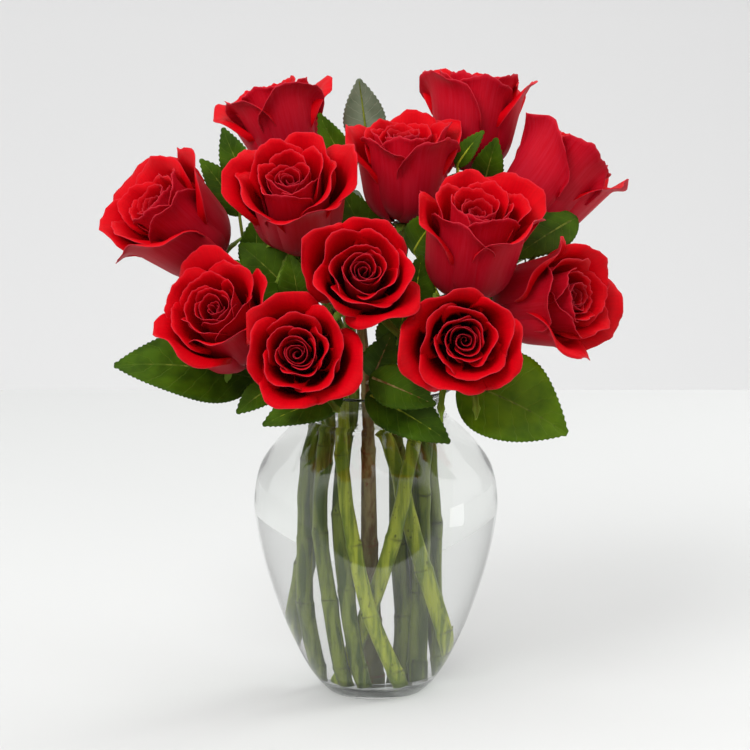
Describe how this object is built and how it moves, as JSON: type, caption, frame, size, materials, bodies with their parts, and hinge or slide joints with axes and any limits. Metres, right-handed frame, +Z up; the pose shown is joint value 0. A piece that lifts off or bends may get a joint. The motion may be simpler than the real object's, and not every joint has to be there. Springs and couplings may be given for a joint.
{
  "type": "roses in a vase",
  "caption": "Cut red roses with serrated leaves, standing in a clear glass ginger-jar vase filled with water.",
  "frame": {"origin": "middle of the vase's flat foot", "axes": "+Z up, -Y towards the side that the heads face"},
  "size_m": [0.3338, 0.2243, 0.3921],
  "materials": {
    "glass": "clear blown glass, polished",
    "water": "clear still water",
    "petal": "soft velvety petal",
    "green": "satin green stem and waxy leaf"
  },
  "bodies": {
    "root": {"vase": "glass", "water": "water", "bloom_top_left": "petal", "bloom_top_right": "petal", "bloom_top_middle": "petal", "bloom_upper_left": "petal", "bloom_upper_right": "petal", "bloom_far_left": "petal", "bloom_far_right": "petal", "bloom_centre": "petal", "bloom_lower_right": "petal", "bloom_lower_left": "petal", "bloom_front_right": "petal", "bloom_front_left": "petal", "stem_top_left": "green", "stem_top_right": "green", "stem_top_middle": "green", "stem_upper_left": "green", "stem_upper_right": "green", "stem_far_left": "green", "stem_far_right": "green", "stem_centre": "green", "stem_lower_right": "green", "stem_lower_left": "green", "stem_front_right": "green", "stem_front_left": "green"}
  },
  "joints": []
}
